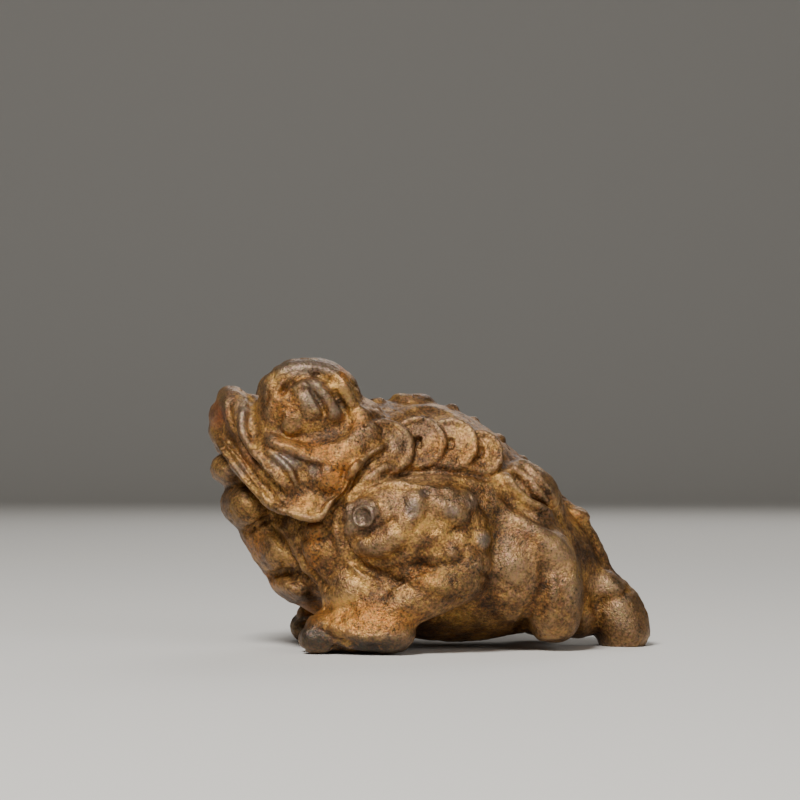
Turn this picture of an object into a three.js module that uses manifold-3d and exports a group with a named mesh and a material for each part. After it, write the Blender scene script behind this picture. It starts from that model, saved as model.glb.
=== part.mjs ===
// Money toad incense holder: a three-legged toad with strings of cash coins over its back,
// one solid brass casting. Millimetres, +Z up, the toad faces -X, its left side is -Y.
// The origin is under the middle of the toad, on the surface that it stands on.

import * as THREE from 'three';
import { ParametricGeometry } from 'three/addons/geometries/ParametricGeometry.js';
import { mergeVertices } from 'three/addons/utils/BufferGeometryUtils.js';
import { SimplifyModifier } from 'three/addons/modifiers/SimplifyModifier.js';
import Module from 'manifold-3d';

const wasm = await Module();
wasm.setup();

// Driving dimensions. A place on the side is [x, z]; the skin gives its y.
const stick = { x: -1.8, diameter: 2.2, depth: 12 };
const collar = { radius: 3.2, topRadius: 1.9, top: 25.25, height: 2.4 };
const coin = { thickness: 2.4, rim: 0.5, relief: 0.3, hole: 0.8, lap: 11, rise: 18, lift: 0.4 };
const eye = { at: [-14.7, 22.0], radius: 1.6, lid: 2.1, lidThickness: 0.3 };
const boss = { at: [-7.85, 13.3], ring: 0.9, ringThickness: 0.35, knob: 0.45 };

// Lofted masses: vertical sections along the toad, each [x, top, widest height, bottom, half width]
const trunkSections = [
  [-16.6, 11.6, 11.4, 11.2, 0],
  [-16.0, 13.6, 11.4, 9.6, 4.2],
  [-13.6, 17.0, 10.4, 6.2, 8.0],
  [-11.0, 20.4, 10.0, 4.0, 9.8],
  [-7.5, 24.0, 10.6, 2.7, 11.0],
  [-3.0, 24.6, 10.4, 1.2, 11.6],
  [1.5, 24.1, 9.6, 0.5, 11.9],
  [5.5, 22.0, 8.8, 0.6, 11.7],
  [9.5, 18.7, 8.0, 1.5, 10.6],
  [12.6, 15.0, 7.2, 2.0, 8.4],
  [15.2, 11.8, 7.4, 2.6, 4.6],
  [17.0, 8.6, 6.4, 3.4, 2.4],
  [17.8, 6.6, 6.0, 5.4, 0],
];
const headSections = [
  [-21.4, 22.6, 22.2, 21.8, 0],
  [-21.0, 24.0, 22.0, 20.8, 2.8],
  [-19.8, 25.0, 21.2, 19.2, 5.0],
  [-18.4, 25.2, 19.6, 17.2, 6.8],
  [-16.3, 25.0, 17.6, 14.6, 8.8],
  [-13.4, 25.2, 16.8, 13.2, 10.4],
  [-11.0, 25.4, 17.2, 14.2, 11.2],
  [-8.9, 25.2, 18.6, 16.6, 11.3],
  [-6.6, 24.6, 20.4, 19.0, 10.4],
  [-4.6, 23.6, 21.4, 20.4, 6.5],
  [-4.0, 22.8, 21.6, 21.2, 0],
];

// Single masses on the middle line: snout, scutes down the throat and chest, root of the third leg
const middleMasses = [
  { at: [-20.3, 0, 23.0], radii: [1.8, 3.4, 1.8] },
  { at: [-19.9, 0, 17.7], radii: [2.1, 3.8, 1.7] },
  { at: [-17.9, 0, 14.1], radii: [3.0, 5.4, 2.5], tilt: -20 },
  { at: [-15.0, 0, 9.8], radii: [2.65, 6.2, 2.65], tilt: -35 },
  { at: [-13.5, 0, 5.9], radii: [2.8, 6.4, 1.4], tilt: -22 },
  { at: [15.0, 0, 3.2], radii: [2.2, 3.4, 2.6] },
];
// Masses on both sides, y given for the right side: brow, three on the neck, two on the cheek and one at
// the mouth corner, shoulder, leg root, flank, haunch, thigh and rump. A power under 1 makes an
// ellipsoid boxier.
const sideMasses = [
  { at: [-12.3, 5.6, 23.4], radii: [5.25, 4.6, 5.3], power: 0.92 },
  { at: [-7.5, 5.0, 22.4], radii: [2.6, 4.2, 2.4] },
  { at: [-7.4, 7.0, 20.4], radii: [2.8, 3.7, 2.6] },
  { at: [-6.2, 8.0, 16.5], radii: [3.8, 3.5, 1.9], tilt: 38 },
  { at: [-9.3, 7.3, 14.8], radii: [2.0, 3.1, 2.4], around: 18 },
  { at: [-12.2, 6.8, 17.8], radii: [6.2, 3.8, 4.2], tilt: -18 },
  { at: [-10.8, 7.6, 16.3], radii: [2.1, 3.5, 2.0], around: 18 },
  { at: [-12.5, 8.6, 14.6], radii: [2.6, 2.1, 1.4], around: 18 },
  { at: [-2.7, 8.2, 12.3], radii: [7.2, 5.9, 4.9], tilt: 6, power: 0.85 },
  { at: [-6.4, 8.0, 5.6], radii: [5.0, 4.4, 4.4] },
  { at: [6.8, 7.4, 8.8], radii: [4.8, 4.6, 6.2], tilt: 12 },
  { at: [11.3, 6.4, 5.9], radii: [3.1, 4.8, 5.3], tilt: 4, power: 0.9 },
  { at: [9.4, 7.9, 10.4], radii: [5.0, 3.8, 2.7], tilt: -38 },
  { at: [9.3, 4.2, 15.6], radii: [4.3, 3.6, 2.5], tilt: -44 },
];
// The hollow round each eye, taken out of the brow
const socket = { at: [-12.5, 23.2], radii: [4.4, 1.2, 3.2], sink: 0.1 };

// Round limbs, each station [x, y, z, radius], y given for the right side
const throat = [[-17.6, 0, 17.6, 3.2], [-15.2, 0, 13.6, 4.4], [-12.6, 0, 9.6, 4.6], [-10.4, 0, 6.4, 3.4]];
const tail = [[11.6, 0, 14.2, 1.8], [14.5, 0, 12.1, 1.65], [15.9, 0, 9.6, 1.6], [16.8, 0, 6.8, 1.9]];
const thirdLeg = [[16.0, 0, 8.0, 1.6], [17.2, 0, 5.8, 2.2], [18.7, 0, 3.6, 2.75], [19.5, 0, 1.6, 2.85]];
const thirdLegWidth = 1.4;
const foreleg = [
  [0.6, 9.6, 10.0, 3.8],
  [2.2, 10.6, 8.0, 3.0],
  [0.6, 11.6, 6.6, 2.3],
  [-2.4, 12.0, 5.2, 2.1],
  [-5.2, 11.6, 3.9, 2.1],
  [-7.6, 10.8, 3.1, 2.0],
];
const foot = [[-4.8, 11.8, 2.4, 2.4], [-7.5, 11.2, 2.4, 2.3], [-9.8, 10.0, 2.4, 2.0], [-11.3, 8.8, 2.6, 1.6]];
const toes = [
  [[-10.4, 10.3, 1.7, 1.4], [-12.0, 10.1, 1.5, 1.6]],
  [[-10.2, 7.6, 1.6, 1.4], [-12.4, 7.0, 1.3, 1.25]],
  [[-9.4, 5.6, 1.5, 1.3], [-11.4, 4.6, 1.2, 1.1]],
];
const upperLip = [
  [-19.9, -0.8, 24.7, 1.5],
  [-19.8, 2.6, 24.0, 1.5],
  [-18.9, 5.0, 21.8, 1.2],
  [-17.2, 7.0, 18.4, 1.0],
  [-15.2, 8.8, 15.9, 0.8],
  [-13.3, 9.8, 14.2, 0.8],
];
const lowerLip = [
  [-21.3, -0.6, 21.5, 0.9],
  [-20.4, 3.2, 20.0, 0.9],
  [-18.9, 5.8, 17.7, 0.8],
  [-16.4, 8.2, 14.6, 0.7],
  [-13.2, 10.0, 13.6, 0.8],
  [-11.6, 9.9, 13.8, 0.9],
  [-10.0, 9.8, 15.2, 0.7],
];
const neck = [
  [-10.4, 9.2, 13.2, 1.0],
  [-9.1, 9.9, 14.9, 1.2],
  [-8.1, 9.9, 16.2, 1.2],
  [-7.0, 9.8, 17.3, 1.1],
  [-5.5, 9.6, 18.2, 0.9],
];

// Rounded ridges on the side: places [x, z] along each, and its radius
const ridges = [
  // brow and the three locks that hang from it
  {
    along: [[-16.5, 23.8], [-16.0, 25.6], [-14.2, 27.0], [-11.5, 27.5], [-9.2, 26.6], [-7.4, 24.3]],
    radius: 1.1,
  },
  { along: [[-14.0, 26.2], [-12.9, 25.2], [-12.2, 24.0], [-11.7, 22.6]], radius: 0.9 },
  { along: [[-12.6, 26.2], [-11.3, 25.5], [-10.4, 24.1], [-9.5, 22.0]], radius: 0.9 },
  { along: [[-10.4, 26.2], [-9.3, 25.3], [-8.4, 24.1], [-7.6, 22.8]], radius: 0.95 },
  // lips, cheek and jaw
  { along: [[-18.8, 25.4], [-18.9, 22.6], [-18.0, 20.0], [-15.6, 17.0], [-14.0, 15.3]], radius: 0.5 },
  { along: [[-21.2, 21.4], [-19.1, 18.2], [-16.1, 14.3], [-14.6, 13.1]], radius: 0.4 },
  { along: [[-17.2, 20.5], [-14.8, 19.5], [-12.0, 18.2], [-10.6, 17.3]], radius: 0.45 },
  { along: [[-17.0, 18.4], [-15.5, 17.2], [-14.1, 15.5]], radius: 0.45 },
  {
    along: [[-15.6, 15], [-13.5, 13.6], [-11.4, 13.8], [-9.8, 15.5], [-8.6, 17.7], [-6.8, 19.4], [-5.4, 20]],
    radius: 0.6,
  },
  // shoulder and foreleg
  { along: [[-8.3, 15.0], [-5.7, 16.3], [-2.9, 16.3], [0.2, 15.9], [3.2, 14.6], [4.5, 12.4]], radius: 0.6 },
  { along: [[-8.6, 11.9], [-7.9, 13.3], [-6.7, 14.0]], radius: 0.9 },
  { along: [[-7.4, 10.4], [-5.6, 10.8], [-3.8, 11.2]], radius: 1.0 },
  { along: [[-10.4, 13.0], [-10.3, 10.4], [-9.3, 8.5], [-6.9, 6.5]], radius: 0.5 },
  { along: [[-5.4, 5.2], [-2.7, 7.3], [0.8, 8.8]], radius: 0.55 },
  { along: [[-12.8, 3.0], [-10.6, 2.8], [-7.7, 1.9], [-3.0, 2.4]], radius: 0.5 },
  // string above the coins, rump and thigh
  { along: [[-6.4, 21.8], [-4.4, 22.8], [-0.8, 23.8], [2.6, 22.5]], radius: 0.5 },
  { along: [[7.2, 17.6], [9.2, 16.6], [11.3, 14.8]], radius: 1.0 },
  { along: [[6.3, 17.2], [7.7, 15.6], [9.4, 14.0], [11.6, 12.9]], radius: 0.65 },
  { along: [[5.6, 14.0], [8.5, 12.4], [10.9, 10.8], [12.6, 8.9], [13.1, 5.4]], radius: 0.9 },
];

// Rounded grooves on the side: places [x, z] along each, and its radius
const grooves = [
  { along: [[-20.2, 24.2], [-19.4, 20.9], [-17.2, 17.9], [-14.8, 15.2]], radius: 0.5 },
  { along: [[-11.4, 26.0], [-9.9, 24.6], [-8.6, 22.6]], radius: 0.3 },
  {
    along: [[-14.2, 13.0], [-12.0, 12.5], [-10.1, 14.2], [-8.7, 16.3], [-7.8, 17.6]],
    radius: 0.4,
  },
  { along: [[-6.4, 16.7], [-2.9, 17.4], [0.9, 17.3], [4.2, 16.6], [6.0, 17.0]], radius: 0.6 },
  { along: [[-9.7, 13.9], [-9.7, 11.0], [-8.1, 8.4], [-4.6, 7.1]], radius: 0.6 },
  { along: [[-8.2, 11.2], [-6.4, 12.3], [-4.4, 13.2]], radius: 0.4 },
  { along: [[-8.4, 9.5], [-5.8, 9.1], [-2.5, 10.6]], radius: 0.45 },
  { along: [[-18.4, 11.5], [-17.3, 12.3], [-15.8, 13.0]], radius: 0.5 },
  { along: [[-17.0, 12.8], [-14.6, 9.8], [-12.4, 6.7]], radius: 0.6 },
  { along: [[-16.2, 7.1], [-14.7, 7.8], [-13.2, 7.4], [-11.4, 5.9]], radius: 0.5 },
  { along: [[8.1, 18.4], [9.6, 17.0], [11.0, 15.0]], radius: 0.35 },
  { along: [[7.4, 17.3], [9.0, 15.7], [10.7, 14.3]], radius: 0.35 },
  { along: [[6.0, 15.8], [7.8, 14.0], [9.5, 12.8], [11.9, 11.7]], radius: 0.75 },
  { along: [[3.8, 8.2], [5.6, 7.2], [8.1, 5.9]], radius: 0.4 },
  { along: [[8.2, 1.8], [8.5, 3.6], [8.8, 4.8]], radius: 0.5 },
  { along: [[15.8, 4.2], [17.2, 4.5], [18.8, 5.2], [19.6, 5.8]], radius: 0.45 },
];

// Warts: on the side [x, z, radius], on the back and at the nostrils [x, y, radius]
const sideWarts = [
  [-2.8, 14.4, 1.1],
  [-3.7, 12.6, 0.8],
  [1.4, 13.6, 1.2],
  [2.6, 14.8, 1.1],
  [3.9, 11.1, 1.1],
  [-0.9, 9.0, 0.8],
  [0.8, 9.6, 0.9],
];
const backWarts = [
  [-5.3, 1.6, 0.9],
  [2.0, 1.4, 0.9],
  [4.3, 0.9, 0.75],
  [6.7, 1.7, 0.85],
  [9.2, 1.0, 0.75],
  [-18.2, 2.4, 0.9],
];
const wartSink = 0.5;
const coinPlaces = [[-5.3, 19.8, 2.85], [-1.95, 20.2, 2.72], [1.2, 20.05, 2.72], [4.15, 19.2, 2.35]];
const tailBoss = { at: [14.6, 0, 13.1], radii: [1.6, 1.9, 0.95], tilt: -15 };

// How many corners the finished surface keeps, and how close two corners count as one
const cornerBudget = 4800;
const sameCorner = 1e-5;

const deg = THREE.MathUtils.degToRad;
const sides = [-1, 1];

// A closed geometry as a solid, with its faces turned outwards
function solid(geometry) {
  const bare = geometry.index ? geometry.toNonIndexed() : geometry.clone();
  bare.deleteAttribute('normal');
  bare.deleteAttribute('uv');
  const shared = mergeVertices(bare, sameCorner);
  const corners = Array.from(shared.index.array);
  const kept = [];
  for (let i = 0; i < corners.length; i += 3) {
    const [a, b, c] = corners.slice(i, i + 3);
    if (a !== b && b !== c && c !== a) kept.push(a, b, c);
  }
  const vertProperties = new Float32Array(shared.attributes.position.array);
  if (sixVolumes(vertProperties, kept) < 0) kept.reverse();
  return new wasm.Manifold(new wasm.Mesh({ numProp: 3, vertProperties, triVerts: new Uint32Array(kept) }));
}

// Six times the signed volume of a closed mesh
function sixVolumes(places, corners) {
  const corner = (i) => new THREE.Vector3(...places.subarray(3 * i, 3 * i + 3));
  let sum = 0;
  for (let i = 0; i < corners.length; i += 3) {
    sum += corner(corners[i]).dot(corner(corners[i + 1]).cross(corner(corners[i + 2])));
  }
  return sum;
}

// A smooth curve through places of three numbers each
function curveThrough(places) {
  return new THREE.CatmullRomCurve3(places.map((place) => new THREE.Vector3(...place)), false, 'catmullrom');
}

// A mass lofted through its sections: round the section u, along the sections v
function loft(sections, around = 32, rings = 3) {
  const ends = curveThrough(sections.map(([x, top, , bottom]) => [x, top, bottom]));
  const waist = curveThrough(sections.map(([x, , widest, , half]) => [x, widest, half]));
  const shape = new ParametricGeometry((u, v, point) => {
    const end = ends.getPoint(v);
    const middle = waist.getPoint(v);
    const turn = 2 * Math.PI * (u % 1);
    const rise = Math.sin(turn);
    const height = rise > 0 ? end.y - middle.y : middle.y - end.z;
    point.set(end.x, Math.max(middle.z, 0) * Math.cos(turn), middle.y + height * rise);
  }, around, (sections.length - 1) * rings);
  return solid(shape);
}

// An ellipsoid, its front lowered by tilt about Y, in degrees. Each part of a point of the ball is raised
// to a power, and below 1 that makes it boxier.
function ellipsoid({ at, radii, tilt = 0, power = 1, around = 24 }, side = 1) {
  const shape = new THREE.SphereGeometry(1, around, Math.round(around * 0.6));
  shape.rotateX(Math.PI / 2);
  const parts = shape.attributes.position.array;
  for (let i = 0; i < parts.length; i++) parts[i] = Math.sign(parts[i]) * Math.abs(parts[i]) ** power;
  shape.scale(...radii);
  shape.rotateY(-deg(tilt));
  shape.translate(at[0], at[1] * side, at[2]);
  return solid(shape);
}

// A tube with round ends through stations [x, y, z, radius], stretched along Y by wide
function tube(stations, side, { around = 12, steps = 3, cap = 3, wide = 1 } = {}) {
  const curve = curveThrough(stations.map(([x, y, z]) => [x, y * side, z]));
  const girth = curveThrough(stations.map(([, , , radius]) => [radius, 0, 0]));
  const count = (stations.length - 1) * steps;
  const frames = curve.computeFrenetFrames(count);
  const rings = [];
  for (let i = -cap; i <= count + cap; i++) {
    const on = Math.min(Math.max(i, 0), count);
    const t = on / count;
    const beyond = Math.abs(i - on) / cap;
    const radius = girth.getPoint(t).x;
    const reach = Math.sign(i - on) * radius * Math.sin(beyond * Math.PI / 2);
    const middle = curve.getPoint(t).addScaledVector(curve.getTangent(t), reach);
    const across = beyond < 1 ? radius * Math.cos(beyond * Math.PI / 2) : 0;
    rings.push({ middle, across, normal: frames.normals[on], binormal: frames.binormals[on] });
  }
  const shape = new ParametricGeometry((u, v, point) => {
    const ring = rings[Math.round(v * (rings.length - 1))];
    const turn = 2 * Math.PI * (u % 1);
    point.copy(ring.middle);
    point.addScaledVector(ring.normal, ring.across * Math.cos(turn));
    point.addScaledVector(ring.binormal, ring.across * Math.sin(turn));
  }, around, rings.length - 1);
  return solid(shape.scale(1, wide, 1));
}

// A solid as a named mesh
function meshOf(whole, name, material) {
  const { vertProperties, triVerts } = whole.getMesh();
  const geometry = new THREE.BufferGeometry();
  geometry.setAttribute('position', new THREE.BufferAttribute(vertProperties, 3));
  geometry.setIndex(new THREE.BufferAttribute(triVerts, 1));
  geometry.computeVertexNormals();
  const mesh = new THREE.Mesh(geometry, material);
  mesh.name = name;
  return mesh;
}

const patinatedBrass = new THREE.MeshStandardMaterial({ color: 0x8a6a45, roughness: 0.5, metalness: 0.7 });

// The masses that carry everything else
const masses = [loft(trunkSections), loft(headSections), tube(throat, 1), tube(tail, 1)];
masses.push(tube(thirdLeg, 1, { wide: thirdLegWidth }));
for (const mass of middleMasses) masses.push(ellipsoid(mass));
for (const side of sides) {
  for (const mass of sideMasses) masses.push(ellipsoid(mass, side));
  for (const limb of [foreleg, foot, ...toes, upperLip, lowerLip, neck]) masses.push(tube(limb, side));
}
let bulk = wasm.Manifold.union(masses);
let skin = meshOf(bulk, 'skin', patinatedBrass);
const caster = new THREE.Raycaster();

// The point of the skin met when coming in from outside along a direction, and the way the skin faces there
function onSkin(target, outward) {
  caster.set(target.clone().addScaledVector(outward, 60), outward.clone().negate());
  const [hit] = caster.intersectObject(skin);
  return { point: hit.point, normal: hit.face.normal.clone() };
}

const onSide = (x, z, side) => onSkin(new THREE.Vector3(x, 0, z), new THREE.Vector3(0, side, 0));
const onTop = (x, y) => onSkin(new THREE.Vector3(x, y, 0), new THREE.Vector3(0, 0, 1));

// The sockets go out of the brows first, because the eyes and the locks stand in them
const sockets = sides.map((side) => {
  const { point } = onSide(...socket.at, side);
  const at = [point.x, Math.abs(point.y) + socket.sink, point.z];
  return ellipsoid({ at, radii: socket.radii, tilt: -10 }, side);
});
bulk = bulk.subtract(wasm.Manifold.union(sockets));
skin = meshOf(bulk, 'skin', patinatedBrass);

// A ridge or a groove that follows the skin of the side, sunk by a part of its radius and thinner at its ends
function ridge({ along, radius }, side, sink = 0.35) {
  const endShare = 0.55;
  const stepsBetween = 3;
  const route = curveThrough(along.map(([x, z]) => [x, 0, z]));
  const count = (along.length - 1) * stepsBetween;
  const stations = route.getPoints(count).map(({ x, z }, i) => {
    const { point, normal } = onSide(x, z, side);
    point.addScaledVector(normal, -sink * radius);
    const girth = endShare + (1 - endShare) * Math.sin((Math.PI * i) / count);
    return [point.x, point.y, point.z, radius * girth];
  });
  return tube(stations, 1, { around: 8, steps: 1 });
}

// Turns a shape made round +Y to face a direction, and carries it to a point
function setDown(shape, point, facing) {
  shape.applyQuaternion(new THREE.Quaternion().setFromUnitVectors(new THREE.Vector3(0, 1, 0), facing));
  shape.translate(point.x, point.y, point.z);
  return solid(shape);
}

// A cash coin: a disc with a raised rim and a square hole sunk in its face
function cashCoin(point, facing, radius) {
  const { rim, relief, thickness, hole } = coin;
  const profile = [
    [0, -thickness],
    [radius * 0.9, -thickness],
    [radius, 0],
    [radius - rim * 0.5, relief * 0.6],
    [radius - rim, 0],
    [radius - rim * 1.6, -relief * 0.4],
    [0, -relief * 0.2],
  ].map(([r, h]) => new THREE.Vector2(r, h));
  const disc = setDown(new THREE.LatheGeometry(profile, 24), point, facing);
  return disc.subtract(setDown(new THREE.BoxGeometry(hole, 3 * relief, hole), point, facing));
}

// A domed wart on the skin, its middle sunk by a part of its radius
function wart({ point, normal }, radius, { around = 10, sink = 0 } = {}) {
  const dome = new THREE.SphereGeometry(radius, around, Math.round(around * 0.6));
  const middle = point.clone().addScaledVector(normal, -sink * radius);
  dome.translate(middle.x, middle.y, middle.z);
  return solid(dome);
}

// A ring lying on the skin
function ring({ point, normal }, radius, thickness) {
  const hoop = new THREE.TorusGeometry(radius, thickness, 6, 18).rotateX(Math.PI / 2);
  return setDown(hoop, point, normal);
}

const reliefs = [ellipsoid({ ...tailBoss, around: 10 })];
const cuts = [];

for (const side of sides) {
  for (const line of ridges) reliefs.push(ridge(line, side));
  for (const line of grooves) cuts.push(ridge(line, side, 0));

  const eyeSpot = onSide(...eye.at, side);
  reliefs.push(wart(eyeSpot, eye.radius, { around: 16, sink: 0.4 }));
  reliefs.push(ring(eyeSpot, eye.lid, eye.lidThickness));
  const bossSpot = onSide(...boss.at, side);
  bossSpot.point.addScaledVector(bossSpot.normal, boss.knob);
  reliefs.push(ring(bossSpot, boss.ring, boss.ringThickness));
  reliefs.push(wart(bossSpot, boss.knob));
  for (const [x, z, radius] of sideWarts) reliefs.push(wart(onSide(x, z, side), radius, { sink: wartSink }));
  for (const [x, y, radius] of backWarts) reliefs.push(wart(onTop(x, y * side), radius, { sink: wartSink }));

  // Each coin's plane follows the row of coins, turned to the front by lap so that its rear edge lies on
  // the next coin
  const spots = coinPlaces.map(([x, z]) => onSide(x, z, side).point);
  coinPlaces.forEach(([, , radius], i) => {
    const first = Math.min(i, spots.length - 2);
    const step = spots[first + 1].clone().sub(spots[first]);
    const turn = deg(coin.lap) + Math.atan2(side * step.y, step.x);
    const facing = new THREE.Vector3(-Math.tan(turn), side, Math.tan(deg(coin.rise))).normalize();
    reliefs.push(cashCoin(spots[i].clone().addScaledVector(facing, coin.lift), facing, radius));
  });
}

// The collar round the stick hole, and the hole going down into the back
const mound = new THREE.CylinderGeometry(collar.topRadius, collar.radius, collar.height, 16);
mound.rotateX(Math.PI / 2);
reliefs.push(solid(mound.translate(stick.x, 0, collar.top - collar.height / 2)));
const bore = new THREE.CylinderGeometry(stick.diameter / 2, stick.diameter / 2, 2 * stick.depth, 16);
bore.rotateX(Math.PI / 2);
cuts.push(solid(bore.translate(stick.x, 0, collar.top)));

// Everything under the table top goes, which leaves flat soles
const below = { width: 100, height: 20 };
const underTable = new THREE.BoxGeometry(below.width, below.width, below.height);
cuts.push(solid(underTable.translate(0, 0, -below.height / 2)));

const toad = wasm.Manifold.union([bulk, ...reliefs]).subtract(wasm.Manifold.union(cuts));
const fine = meshOf(toad, 'fine', patinatedBrass).geometry;
fine.deleteAttribute('normal');
const spare = toad.numVert() - cornerBudget;
const plain = await new SimplifyModifier().modify(mergeVertices(fine, sameCorner), spare);

// Grooves that meet can cut a crumb loose, so the casting is the largest piece that is left
const largest = solid(plain).decompose().reduce((a, b) => (b.volume() > a.volume() ? b : a));
const casting = meshOf(largest, 'money_toad', patinatedBrass);

// The middle of the toad's length and width goes over the origin
casting.geometry.computeBoundingBox();
const centre = casting.geometry.boundingBox.getCenter(new THREE.Vector3());
casting.position.set(-centre.x, -centre.y, 0);

const moneyToad = new THREE.Group();
moneyToad.add(casting);

export default moneyToad;
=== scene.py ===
# Money toad incense holder: one small brass casting with an old brown patina.
# Shapes are worked out in millimetres and turned to metres when the mesh is finished.
import math
import bpy
import numpy as np
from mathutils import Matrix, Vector
from mathutils.bvhtree import BVHTree


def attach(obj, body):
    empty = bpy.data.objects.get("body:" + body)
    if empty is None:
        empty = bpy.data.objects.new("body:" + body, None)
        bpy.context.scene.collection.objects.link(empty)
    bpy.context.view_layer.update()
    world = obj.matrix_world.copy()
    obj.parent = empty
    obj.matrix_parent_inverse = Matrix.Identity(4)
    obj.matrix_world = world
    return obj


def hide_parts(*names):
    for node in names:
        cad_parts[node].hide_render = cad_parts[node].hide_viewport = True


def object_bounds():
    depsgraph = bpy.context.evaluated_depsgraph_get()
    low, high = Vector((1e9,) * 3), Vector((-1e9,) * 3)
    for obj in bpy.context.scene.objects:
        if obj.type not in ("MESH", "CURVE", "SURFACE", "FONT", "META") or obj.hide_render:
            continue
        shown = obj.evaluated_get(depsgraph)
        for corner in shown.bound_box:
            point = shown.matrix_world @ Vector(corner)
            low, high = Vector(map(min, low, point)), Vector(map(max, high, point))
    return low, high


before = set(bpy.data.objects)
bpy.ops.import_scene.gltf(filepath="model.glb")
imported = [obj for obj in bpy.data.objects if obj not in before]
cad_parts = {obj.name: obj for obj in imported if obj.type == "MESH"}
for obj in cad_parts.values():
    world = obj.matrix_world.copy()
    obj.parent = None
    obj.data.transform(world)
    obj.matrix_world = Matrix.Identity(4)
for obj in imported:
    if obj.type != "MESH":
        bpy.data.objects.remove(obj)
cadLow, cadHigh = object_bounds()
mm = 0.001
print("frame loaded")


def addObject(name, data):
    thing = bpy.data.objects.new(name, data)
    bpy.context.collection.objects.link(thing)
    return thing


# Camera at the photograph's angle: low, a little towards the head, through a long lens. Its place is in mm,
# its turns are in degrees, and it sees from near to far in metres.
view = {"at": [-27.45, -278.93, 19.0], "yaw": 5.0, "pitch": 1.146, "lens": 126.0, "sensor": 36.0,
        "near": 0.01, "far": 20.0}


def addCamera():
    data = bpy.data.cameras.new("camera")
    data.lens = view["lens"]
    data.sensor_width = view["sensor"]
    data.clip_start = view["near"]
    data.clip_end = view["far"]
    camera = addObject("camera", data)
    camera.location = Vector(view["at"]) * mm
    camera.rotation_euler = (math.radians(90 + view["pitch"]), 0, math.radians(-view["yaw"]))
    bpy.context.scene.camera = camera


addCamera()


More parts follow.
